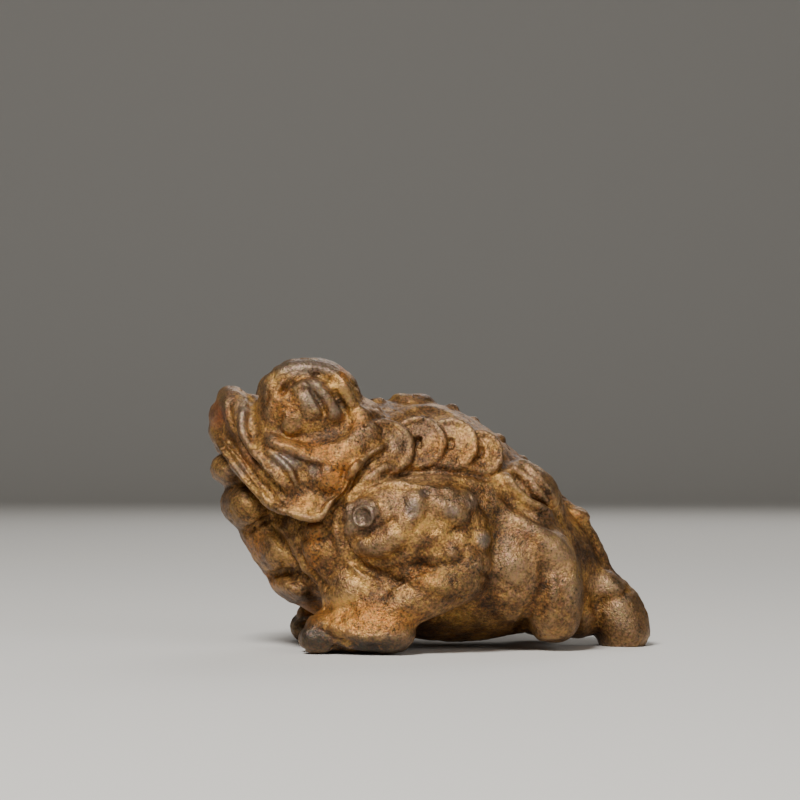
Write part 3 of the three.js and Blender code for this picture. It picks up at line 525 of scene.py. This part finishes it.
# Height of a line: one minus the square, or a greater power, of the distance over its half width, times its
# height, which runs out as a sine over the first and last share fade of its length
def lineHeight(points, tree, side, half, height, at, fade=0.2, power=2, steps=6):
    places = curveThrough(at, steps * len(at))
    path = np.array([onSide(tree, x, z, side) for x, z in places])
    near, gap, share = nearPath(points, path, half)
    ends = np.clip(np.minimum(share, 1 - share) / fade, 0, 1)
    rise = np.zeros(len(points))
    rise[near] = height * np.sin(ends * np.pi / 2) * np.clip(1 - (gap / half)**power, 0, None)
    return rise


# Height of a field: from its outline inwards it rises as one minus the square of what is left of the
# sloping edge, and its middle rises on by dome. It takes the skin that faces out, within reach of the
# outline's depth. The smooth outline has so many steps to each place.
def fieldHeight(points, normals, tree, side, height, edge, outline, dome=0, reach=4, steps=10):
    ring = np.array(outline + outline[:3], float)
    loop = curveThrough(ring, steps * len(ring))[steps:steps * (len(outline) + 1)]
    depth = np.median([onSide(tree, x, z, side)[1] for x, z in outline])
    flat = points[:, [0, 2]]
    inBox = np.all((flat > loop.min(0)) & (flat < loop.max(0)), axis=1)
    near = np.where(inBox & (np.abs(points[:, 1] - depth) < reach) & (normals[:, 1] * side > 0))[0]
    a, b = loop, np.roll(loop, -1, axis=0)
    inside = np.zeros(len(near), bool)
    gap = np.full(len(near), 1e9)
    x, z = flat[near].T
    for (ax, az), (bx, bz) in zip(a, b):
        if az != bz:
            inside ^= ((az > z) != (bz > z)) & (x < (bx - ax) * (z - az) / (bz - az) + ax)
        gap = np.minimum(gap, np.hypot(x - ax, z - az))
    gap = np.where(inside, gap, 0)
    rise = np.zeros(len(points))
    rise[near] = height * (1 - (1 - np.clip(gap / edge, 0, 1))**2) + dome * (gap / max(gap.max(), edge))
    return rise


# Height of a bump: a dome, one minus the square of the distance over its radius, to a power that makes it
# fuller
def bumpHeight(points, tree, side, x, z, radius, height, power=0.75):
    t = np.linalg.norm(points - onSide(tree, x, z, side), axis=1) / radius
    return height * np.clip(1 - t**2, 0, None)**power


# Height of the boss: a ring, one minus the square of the distance to its middle line over its half width,
# around a shallow bowl
def bossHeight(points, tree, side):
    boss = relief["boss"]
    away = np.linalg.norm(points - onSide(tree, *boss["at"], side), axis=1)
    ring = boss["height"] * np.clip(1 - ((away - boss["ring"]) / boss["half"])**2, 0, None)
    return ring + boss["bowl"] * np.clip(1 - (away / boss["ring"])**2, 0, None)


# Carves the fields, then the bumps, then the lines, each on the skin that the last ones left
def carve(mesh):
    for group in ("fields", "bumps", "lines"):
        tree = treeOf(mesh)
        points, normals = pointsOf(mesh), normalsOf(mesh)
        rise = np.zeros(len(points))
        for side in (-1, 1):
            if group == "fields":
                for field in fields.values():
                    rise += fieldHeight(points, normals, tree, side, **field)
            elif group == "bumps":
                for bump in sum(bumps.values(), []):
                    rise += bumpHeight(points, tree, side, *bump)
            else:
                rise += bossHeight(points, tree, side)
                for line in list(headLines.values()) + list(bodyLines.values()):
                    rise += lineHeight(points, tree, side, **line)
        putPoints(mesh, points + normals * rise[:, None])


form = makeForm()
print("masses fused:", len(form.vertices), "points")
carve(form)
print("relief carved")


# A cash coin's edge and face as radius and height: flat back, edge, raised rim, a groove inside it, and a
# face that swells a little to the middle. Its corners lie at shares of the radius and of the rim's width.
def coinProfile(radius):
    c = relief["coin"]
    rim, back, top, face = c["rim"], -c["thickness"], c["relief"], c["face"]
    return [
        [0, back], [radius * 0.9, back], [radius, -top], [radius, 0], [radius - rim * 0.3, top],
        [radius - rim, top * 0.8], [radius - rim * 1.4, -c["groove"]], [radius - rim * 2.2, face * 0.4],
        [radius * 0.4, face], [0, face],
    ]


# Where each coin lies: its middle on the skin, its radius, its facing and the depth of its hole
def coinPlaces(tree, side):
    c = relief["coin"]
    middles = [onSide(tree, x, z, side) for x, z, _, _ in relief["coins"]]
    steps = np.diff(middles, axis=0)
    steps = np.vstack([steps, steps[-1:]])
    places = []
    for (_, _, radius, depth), middle, step in zip(relief["coins"], middles, steps):
        turn = math.radians(c["lap"]) + math.atan2(side * step[1], step[0])
        facing = np.array([-math.tan(turn), side, math.tan(math.radians(c["rise"]))])
        facing /= np.linalg.norm(facing)
        places.append((middle + facing * c["lift"], radius, facing, depth))
    return places


# The coins, the warts along the back, the tail's boss and the mound of the stick hole join the carved body
def makeSkin():
    tree = treeOf(form)
    form.calc_loop_triangles()
    shells = [(pointsOf(form), readRows(form.loop_triangles, "vertices", 3, np.int32))]
    for side in (-1, 1):
        for middle, radius, facing, _ in coinPlaces(tree, side):
            shells.append(turned(coinProfile(radius), middle, facing))
        for x, y, radius, depth in relief["backWarts"]:
            shells.append(ellipsoid(onTop(tree, x, side * y) - [0, 0, depth], [radius] * 3))
    shells.append(ellipsoid(**relief["tailBoss"]))
    mound = relief["mound"]
    shells.append(turned(mound["profile"], np.array([mound["x"], 0, mound["top"]]), np.array([0, 0, 1.0])))
    return fuse("skin", shells, relief["voxel"], relief["softening"])


# Lines that run over the first coin
coinLines = {
    "rimOverCoin": {"half": 0.32, "height": 0.45, "at": [[-9.2, 16.4], [-8.8, 17.2], [-8.2, 18],
        [-7.5, 18.7], [-6.7, 19.3], [-5.8, 19.8], [-4.8, 20.2]]},
    "cutOverCoin": {"half": 0.3, "height": -0.22, "fade": 0.3, "at": [[-8.4, 16.9], [-7.8, 17.7], [-7, 18.4],
        [-6.2, 18.9], [-5.2, 19.3]]},
}


def carveOverCoins(mesh):
    tree, points = treeOf(mesh), pointsOf(mesh)
    rise = sum(lineHeight(points, tree, side, **line) for side in (-1, 1) for line in coinLines.values())
    putPoints(mesh, points + normalsOf(mesh) * rise[:, None])


skin = makeSkin()
carveOverCoins(skin)
print("coins and mound fused:", len(skin.vertices), "points")


# Each coin gets a square hole: the skin goes down along the coin's axis, by the whole depth where the greater
# of the two shares of the hole's half sizes is under inner, and by none where it is past outer
def coinHoles(points, tree):
    hole = relief["coinHole"]
    sunk = points.copy()
    for side in (-1, 1):
        for middle, _, facing, depth in coinPlaces(tree, side):
            across = np.cross([0, 0, 1.0], facing)
            across /= np.linalg.norm(across)
            up = np.cross(facing, across)
            away = points - middle
            share = np.maximum(np.abs(away @ across) / hole["width"], np.abs(away @ up) / hole["height"])
            share[np.abs(away @ facing) > hole["reach"]] = hole["outer"]
            wall = (hole["outer"] - share) / (hole["outer"] - hole["inner"])
            sunk -= facing * (depth * np.clip(wall, 0, 1))[:, None]
    return sunk


# The hole for the incense stick, in the top 2 mm of the mound: skin points within 0.6 voxels of its rim are
# drawn onto the circle, and those inside go straight down by its depth
def stickHole(points):
    hole, mound = relief["stickHole"], relief["mound"]
    near = relief["voxel"] * 0.6
    middle = np.array([mound["x"], 0])
    out = points[:, :2] - middle
    away = np.linalg.norm(out, axis=1)
    above = points[:, 2] > mound["top"] - 2
    rim = above & (np.abs(away - hole["radius"]) < near)
    points[rim, :2] = middle + out[rim] * (hole["radius"] / away[rim])[:, None]
    points[above & (away < hole["radius"] - near), 2] = mound["top"] - hole["depth"]
    return points


points = stickHole(coinHoles(pointsOf(skin), treeOf(form)))
print("coin holes and stick hole sunk")


# The cast skin isn't even
unevenness = {
    "layers": [[2.6, 0.13, 11], [1.1, 0.10, 12], [0.45, 0.05, 13]],   # cell size and height in mm, seed
    "pits": {"cell": 0.55, "from": 0.5, "depth": 0.16, "seed": 21},   # blow holes where a lattice is high
}


# A lattice of seeded numbers from -1 to 1, one for each cell, and between them it is blended by
# 3t^2 - 2t^3 along x, y and z
def latticeNoise(points, cell, seed):
    low = points.min(0) - cell
    size = np.ceil((points.max(0) + cell - low) / cell).astype(int) + 1
    values = np.random.default_rng(seed).uniform(-1, 1, size)
    place = (points - low) / cell
    base = place.astype(int)
    t = place - base
    t = t * t * (3 - 2 * t)
    total = np.zeros(len(points))
    for corner in np.ndindex(2, 2, 2):
        share = np.prod(np.where(corner, t, 1 - t), axis=1)
        total += share * values[tuple((base + corner).T)]
    return total


# The layers add up, and a pit goes down from where its lattice passes from, straight to its depth at 1
def roughen(points, normals):
    rise = np.zeros(len(points))
    for cell, height, seed in unevenness["layers"]:
        rise += height * latticeNoise(points, cell, seed)
    pits = unevenness["pits"]
    high = latticeNoise(points, pits["cell"], pits["seed"])
    rise -= pits["depth"] * np.clip((high - pits["from"]) / (1 - pits["from"]), 0, 1)
    return points + normals * rise[:, None]


# The length stays centred in the solid's box, and nothing goes under the soles
points = roughen(points, normalsOf(skin))
points[:, 0] += (cadLow[0] + cadHigh[0]) / 2 / mm - (points[:, 0].min() + points[:, 0].max()) / 2
points[:, 2] = np.maximum(points[:, 2], 0)
print("skin roughened")


# The finished casting in metres, thinned to its number of triangles
def finishCasting(points):
    putPoints(skin, points * mm)
    blank = addObject("blank", skin)
    thin = blank.modifiers.new("thin", "DECIMATE")
    thin.ratio = min(1.0, relief["triangles"] / (2 * len(skin.polygons)))
    mesh = applied(blank)
    mesh.name = "moneyToad"
    mesh.shade_smooth()
    return addObject("moneyToad", mesh)


casting = finishCasting(points)
print("casting finished:", len(casting.data.polygons), "faces")


# Where dirt and painted shade go and where hands rub, in values from 0 to 1 on the points. The darkening of
# the hollows stands for dirt and also for the shade that falls in them: it is partly painted shade. A point's
# hollow is how far the mean of its neighbours, taken again and again, lies in front of it along its normal:
# few turns give fine detail, many give broad forms.
wear = {
    # turns, mm that count as a full hollow or ridge, and how much of it counts as dirt and painted shade, and
    # as rub
    "fine": {"turns": 8, "depth": 0.12, "dirtAndShade": 0.3, "rub": 0.32},
    "middle": {"turns": 50, "depth": 0.55, "dirtAndShade": 0.5, "rub": 0.55},
    "broad": {"turns": 160, "depth": 1.2, "dirtAndShade": 0.3, "rub": 0.15},
    # the sum of the ridges where rubbing starts and where it is full
    "rubFrom": 0.14,
    "rubTo": 0.8,
    # grime and painted shade patches take rubbed metal away and add to the dark of the hollows
    "grimeAndShadeOverRub": 0.85,
    "grimeAndShadeOverDirt": 0.55,
}
scales = ["fine", "middle", "broad"]


# For each point the sum over its edges of what the other end has, divided by their number
def meanOfNeighbours(values, edges):
    here, there = edges.ravel(), edges[:, ::-1].ravel()
    count = np.bincount(here, minlength=len(values))
    total = np.stack([np.bincount(here, column[there], len(values)) for column in values.T], 1)
    return total / count[:, None]


# Each scale goes on from where the one before it ended
def hollows(mesh):
    points, normals = pointsOf(mesh) / mm, normalsOf(mesh)
    edges = readRows(mesh.edges, "vertices", 2, np.int32)
    soft, done, found = points, 0, {}
    for name in scales:
        for _ in range(wear[name]["turns"] - done):
            soft = meanOfNeighbours(soft, edges)
        done = wear[name]["turns"]
        found[name] = np.clip(((soft - points) * normals).sum(1) / wear[name]["depth"], -1, 1)
    return found


# Patches of colour on both sides, some of them painted shade and painted highlight: x, z, half length, half
# height, strength
patches = {
    "orange": [[-15.2, 24, 1.6, 1.8, 0.6], [-14.2, 20.4, 2.6, 0.7, 0.7], [-10.2, 17.4, 2, 2.6, 1],
        [-12, 19.6, 3.4, 0.8, 0.9], [-9, 27, 0.8, 1.4, 0.8], [-8, 3.6, 6.5, 1.7, 1],
        [-17.6, 10.4, 1, 2, 0.8], [-16.2, 6.6, 1.3, 1, 0.9], [-1.9, 7.6, 1.7, 1.2, 0.7],
        [-9.2, 19, 1.8, 1.6, 0.8], [-13, 14.4, 2.2, 0.9, 0.5], [3.4, 19.4, 1.6, 1.6, 0.5],
        [0.3, 20, 1.6, 1.8, 0.4], [14.4, 12.9, 1.6, 1, 0.6], [-8.5, 22.4, 1.6, 1.2, 0.5],
        [-12.3, 10.4, 1, 2.8, 0.9]],
    "red": [[-21.4, 23.2, 1.2, 1.6, 1], [-20.2, 25, 0.6, 1, 0.7], [-18.3, 18.7, 0.9, 1.2, 0.4],
        [-9.3, 27.2, 0.5, 1.1, 0.8]],
    "grey": [[-12.6, 27.6, 3.4, 1, 0.8], [-12.2, 25, 1.6, 1.7, 0.8], [-18.8, 23.2, 0.8, 2.4, 0.7],
        [-14.8, 18.6, 1.9, 1.1, 1], [-11.8, 17.7, 1.3, 0.8, 1], [-7.8, 13.2, 1.8, 1.8, 0.8],
        [-3.2, 14, 0.8, 1.1, 0.9], [-1.9, 15.5, 0.7, 0.5, 0.9], [0.7, 13.7, 0.9, 0.6, 0.7],
        [3.9, 10.9, 0.8, 0.9, 0.9], [-9.9, 23.6, 0.8, 1.4, 0.6], [-4, 20.4, 1.6, 1.4, 0.4],
        [-1, 21.6, 3, 1.2, 0.3], [-19.6, 17.6, 1.2, 0.9, 0.6], [2.8, 14.7, 0.9, 1, 0.6],
        [-20.6, 16.8, 1.2, 1.4, 0.4]],
    # the pale sandy patches are partly painted highlight on the tops of the haunch and the third leg
    "sandAndHighlight": [[7, 8.4, 3, 3.2, 0.6], [11.4, 9.4, 2, 3, 0.9], [8, 12.8, 3, 1.5, 0.4], [16.6, 6.3, 1.5, 1.3, 1],
        [18.4, 3.4, 1.5, 1.8, 0.6], [12.6, 6.2, 1, 2.8, 0.5], [8.6, 17, 1.8, 1.8, 0.6],
        [-2.4, 14.4, 4.6, 1.8, 0.35], [-3, 17, 4.4, 0.9, 0.5], [3, 22, 4, 2.4, 0.4]],
    # the grime patches are mostly painted shade where the chest, snout, belly, armpit and top of the back
    # turn from the light, with some grime
    "grimeAndShade": [[-17.5, 12, 4.5, 6.5, 0.6], [-13.5, 7, 4, 5, 0.5], [3, 2.6, 8, 2.6, 0.5],
        [12.5, 3.4, 2, 3, 0.4], [-1.5, 8.6, 3.6, 1.6, 0.4], [15.3, 10, 2, 3.4, 0.7],
        [17.5, 1.5, 3.5, 1.6, 0.4], [-21, 17.4, 2.6, 3, 1], [-19, 13.4, 3.8, 3.4, 1],
        [-16.6, 8, 2.6, 3.4, 0.8], [0, 25.4, 9, 2.6, 0.8], [2, 10.2, 2.6, 3, 0.4],
        [-19.8, 22, 0.9, 3.2, 0.6], [-0.5, 20, 7, 2.8, 0.3], [-10.8, 20, 2.4, 1.3, 0.3],
        [-3, 6, 3.6, 1.8, 0.5], [0.6, 7.2, 3.4, 2, 0.8]],
    # dark sooty patches on the toe, the foot's sole band and the top of the brow; on the sole band, which
    # turns down from the light, they are painted shade
    "sootAndShade": [[-12, 1.6, 2, 1.6, 0.9], [-7.4, 0.7, 5.4, 1.3, 1], [-12.6, 28.5, 3, 0.6, 0.4]],
    "olive": [[5, 12, 1.3, 4.2, 0.8], [13.6, 6.4, 1.3, 3.8, 0.8], [1, 7.6, 3.2, 2.4, 0.8],
        [18.6, 4.4, 2.2, 2.6, 0.6], [-19.4, 13.4, 1.6, 2.6, 0.5], [4.4, 3.4, 4.6, 1.6, 0.4],
        [-8.6, 25.6, 0.9, 1.5, 0.5]],
}


# The strongest of the patches at each point: strength times one minus the square of the distance over its
# size, to a power that makes it fuller
def patchShare(points, spots, power=0.7):
    share = np.zeros(len(points))
    for x, z, wide, high, strength in spots:
        away = ((points[:, 0] - x) / wide)**2 + ((points[:, 2] - z) / high)**2
        share = np.maximum(share, strength * np.clip(1 - away, 0, 1)**power)
    return share


# Dirt and painted shade is the sum of the hollows and some of the grime and painted shade patches. Rub is the
# sum of the ridges, taken from rubFrom to rubTo, less where those patches lie.
def addWear(mesh):
    points = pointsOf(mesh) / mm
    found = hollows(mesh)
    shares = {name: patchShare(points, spots) for name, spots in patches.items()}
    dirtAndShade = sum(wear[name]["dirtAndShade"] * found[name] for name in scales)
    rub = -sum(wear[name]["rub"] * found[name] for name in scales)
    shares["dirtAndShade"] = np.clip(dirtAndShade, 0, 1) + wear["grimeAndShadeOverDirt"] * shares["grimeAndShade"]
    rub = np.clip((rub - wear["rubFrom"]) / (wear["rubTo"] - wear["rubFrom"]), 0, 1)
    shares["rub"] = rub * (1 - wear["grimeAndShadeOverRub"] * shares["grimeAndShade"])
    for name, values in shares.items():
        attribute = mesh.attributes.new(name, "FLOAT", "POINT")
        attribute.data.foreach_set("value", np.clip(values, 0, 1).astype(np.float32))


addWear(casting.data)
print("wear and patches worked out")


# sRGB hex to the linear colour that a shader takes
def colour(code):
    channels = [int(code[i:i + 2], 16) / 255 for i in (1, 3, 5)]
    return [c / 12.92 if c < 0.04045 else ((c + 0.055) / 1.055)**2.4 for c in channels] + [1.0]


# Adds a node with its settings. Each of its inputs takes a value or another node's output.
def addNode(tree, kind, inputs=None, output=0, **settings):
    node = tree.nodes.new(kind)
    for name, value in settings.items():
        setattr(node, name, value)
    for name, value in (inputs or {}).items():
        if isinstance(value, bpy.types.NodeSocket):
            tree.links.new(value, node.inputs[name])
        else:
            node.inputs[name].default_value = value
    return node.outputs[output]


# Sand cast brass with an old brown chemical patina: a dull golden brown skin, mottled at every scale and
# darker in the hollows, by dirt and by painted shade, with painted shade and painted highlight in some
# patches, rubbed back to greyish metal on what stands out
patina = {
    # patterns: size in mm, detail, roughness. The skin's sand grain is about 0.1 mm, and fine, pebbles and
    # grain are drawn coarser, so that it shows.
    "patterns": {"blotch": [3.4, 2.0, 0.6], "mottle": [0.95, 3.0, 0.7], "grain": [0.26, 3.0, 0.75],
                 "fine": [0.13, 2.0, 0.7], "pebbles": [0.17, 2.0, 0.5]},
    # how much each pattern moves the tone, which is 0.5 in the mean
    "tone": {"blotch": 0.7, "mottle": 0.5, "grain": 0.7},
    "dark": "#352210",
    # the skin from dark to golden: colour, and the tone where it starts and where it is full
    "skin": [["#77512a", 0.26, 0.54], ["#c4954f", 0.46, 0.73]],
    # what lies on the skin: its share on the points, colour, strength, and the pattern that breaks it up,
    # from where it starts to where it is full
    "layers": [
        ["olive", "#6a5218", 0.6, "tone", 0.3, 0.6],
        # the pale sandy layer is partly painted highlight on the tops of the haunch and the third leg
        ["sandAndHighlight", "#c9a57e", 0.6, "grain", 0.3, 0.6],
        ["red", "#7c2c14", 0.75, "tone", 0.3, 0.6],
        ["rub", "#8c7458", 0.8, "grain", 0.32, 0.6],
        ["grey", "#79736d", 0.75, "tone", 0.3, 0.55],
        ["orange", "#ba772b", 0.75, "grain", 0.36, 0.58],
        # the sooty layer is partly painted shade on the foot's sole band
        ["sootAndShade", "#3b3733", 0.9, "tone", 0.85, 0.5],
        # the last layer darkens the hollows and the shade patches: dirt, and painted shade
        ["dirtAndShade", "#23150a", 1.0, "grain", 0.95, 0.15],
    ],
    "colourGrain": 0.55,   # how far the grain's own colours tint the skin
    "specks": [0.52, 0.72, 0.3],      # the fine pattern where dark specks start and are full, strength
    "metallic": 0.65,
    "metallicRub": 0.3,    # more where metal shows
    "roughness": 0.29,
    "roughnessFine": 0.38,
    "roughnessRub": -0.06,
    "bumpDepth": 0.1,      # mm
    "bumpRub": -0.5,       # less where metal shows
}


# On a Mix node of colours, 0 is the factor, 6 the colour below, 7 the one above and output 2 the result. On a
# multiply and add node, 0 and 1 are multiplied and 2 is added.
def agedBrass():
    material = bpy.data.materials.new("agedBrassPatina")
    material.use_nodes = True
    tree = material.node_tree
    shader = tree.nodes["Principled BSDF"].inputs
    calc, ramp, mix = "ShaderNodeMath", "ShaderNodeMapRange", "ShaderNodeMix"
    multiplyAdd, ofColours = {"operation": "MULTIPLY_ADD"}, {"output": 2, "data_type": "RGBA"}
    where = addNode(tree, "ShaderNodeTexCoord", output="Object")
    pattern = {}
    for name, (size, detail, rough) in patina["patterns"].items():
        settings = {"Vector": where, "Scale": 1 / (size * mm), "Detail": detail, "Roughness": rough}
        pattern[name] = addNode(tree, "ShaderNodeTexNoise", settings, "Fac")
    tone = 0.5 - 0.5 * sum(patina["tone"].values())
    for name, weight in patina["tone"].items():
        tone = addNode(tree, calc, {0: pattern[name], 1: weight, 2: tone}, **multiplyAdd)
    pattern["tone"] = tone
    base = colour(patina["dark"])
    for code, start, full in patina["skin"]:
        amount = addNode(tree, ramp, {"Value": tone, "From Min": start, "From Max": full},
                         interpolation_type="SMOOTHSTEP")
        base = addNode(tree, mix, {0: amount, 6: base, 7: colour(code)}, **ofColours)
    amounts = {}
    for name, code, strength, breaker, start, full in patina["layers"]:
        share = addNode(tree, "ShaderNodeAttribute", output="Fac", attribute_name=name)
        limits = {"Value": pattern[breaker], "From Min": start, "From Max": full, "To Max": strength}
        broken = addNode(tree, ramp, limits)
        amounts[name] = addNode(tree, calc, {0: share, 1: broken}, operation="MULTIPLY", use_clamp=True)
        base = addNode(tree, mix, {0: amounts[name], 6: base, 7: colour(code)}, **ofColours)
    # salt and pepper of the cast skin, a little different in each colour
    tint = pattern["grain"].node.outputs["Color"]
    base = addNode(tree, mix, {0: patina["colourGrain"], 6: base, 7: tint}, blend_type="SOFT_LIGHT",
                   **ofColours)
    start, full, strength = patina["specks"]
    limits = {"Value": pattern["fine"], "From Min": start, "From Max": full, "To Max": strength}
    specks = addNode(tree, ramp, limits)
    base = addNode(tree, mix, {0: specks, 6: base, 7: colour(patina["dark"])}, **ofColours)
    tree.links.new(base, shader["Base Color"])
    metal = addNode(tree, calc, {0: amounts["rub"], 1: amounts["grey"]}, operation="MAXIMUM")
    metallic = addNode(tree, calc, {0: metal, 1: patina["metallicRub"], 2: patina["metallic"]}, **multiplyAdd)
    tree.links.new(metallic, shader["Metallic"])
    rough = addNode(tree, calc, {0: pattern["fine"], 1: patina["roughnessFine"], 2: patina["roughness"]},
                    **multiplyAdd)
    rough = addNode(tree, calc, {0: metal, 1: patina["roughnessRub"], 2: rough}, **multiplyAdd)
    tree.links.new(rough, shader["Roughness"])
    strength = addNode(tree, calc, {0: metal, 1: patina["bumpRub"], 2: 1.0}, **multiplyAdd)
    height = addNode(tree, calc, {0: pattern["pebbles"], 1: strength}, operation="MULTIPLY")
    settings = {"Height": height, "Strength": 1.0, "Distance": patina["bumpDepth"] * mm}
    tree.links.new(addNode(tree, "ShaderNodeBump", settings, "Normal"), shader["Normal"])
    return material


casting.data.materials.clear()
casting.data.materials.append(agedBrass())
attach(casting, "root")
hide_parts("money_toad")


# Pale floor that curves up into a backdrop, and soft lights, in metres and watts
stage = {
    "floor": {"half": 4.0, "front": -6.0, "back": 0.9, "bend": 0.5, "top": 2.5,
              "paint": "#cfcbc4", "roughness": 0.9},
    "lights": {
        "key": {"at": (-0.18, -0.38, 0.47), "size": 0.17, "power": 5.5},
        "fill": {"at": (0.35, -0.55, 0.25), "size": 0.4, "power": 1.2},
        "rim": {"at": (0.15, 0.5, 0.4), "size": 0.3, "power": 1.0},
    },
    "air": {"paint": "#e6e4e0", "strength": 0.12},
}


# Flat from the front to the back, then up a quarter circle, then straight up
def addFloor():
    f = stage["floor"]
    turn = np.linspace(0, np.pi / 2, 17)
    curve = np.stack([f["back"] + f["bend"] * np.sin(turn), f["bend"] * (1 - np.cos(turn))], 1)
    profile = np.vstack([[[f["front"], 0]], curve, [[f["back"] + f["bend"], f["top"]]]])
    grid = np.array([[[x, y, z] for x in (-f["half"], f["half"])] for y, z in profile])
    rows = np.arange(len(profile) - 1) * 2
    faces = np.stack([rows, rows + 1, rows + 3, rows + 2], 1)
    mesh = bpy.data.meshes.new("floor")
    mesh.from_pydata(grid.reshape(-1, 3), [], faces)
    mesh.shade_smooth()
    material = bpy.data.materials.new("paleFloorPaint")
    material.use_nodes = True
    shader = material.node_tree.nodes["Principled BSDF"].inputs
    shader["Base Color"].default_value = colour(f["paint"])
    shader["Roughness"].default_value = f["roughness"]
    mesh.materials.append(material)
    addObject("floor", mesh)


# A square lamp that looks at the origin
def addLight(name, at, size, power):
    data = bpy.data.lights.new(name, "AREA")
    data.size = size
    data.energy = power
    lamp = addObject(name, data)
    lamp.location = Vector(at)
    lamp.rotation_euler = (-Vector(at)).to_track_quat("-Z", "Y").to_euler()


# A little light from all round
def addAir():
    world = bpy.data.worlds.new("studio")
    world.use_nodes = True
    background = world.node_tree.nodes["Background"].inputs
    background["Color"].default_value = colour(stage["air"]["paint"])
    background["Strength"].default_value = stage["air"]["strength"]
    bpy.context.scene.world = world


addFloor()
for name, light in stage["lights"].items():
    addLight(name, **light)
addAir()
print("stage and lights ready")
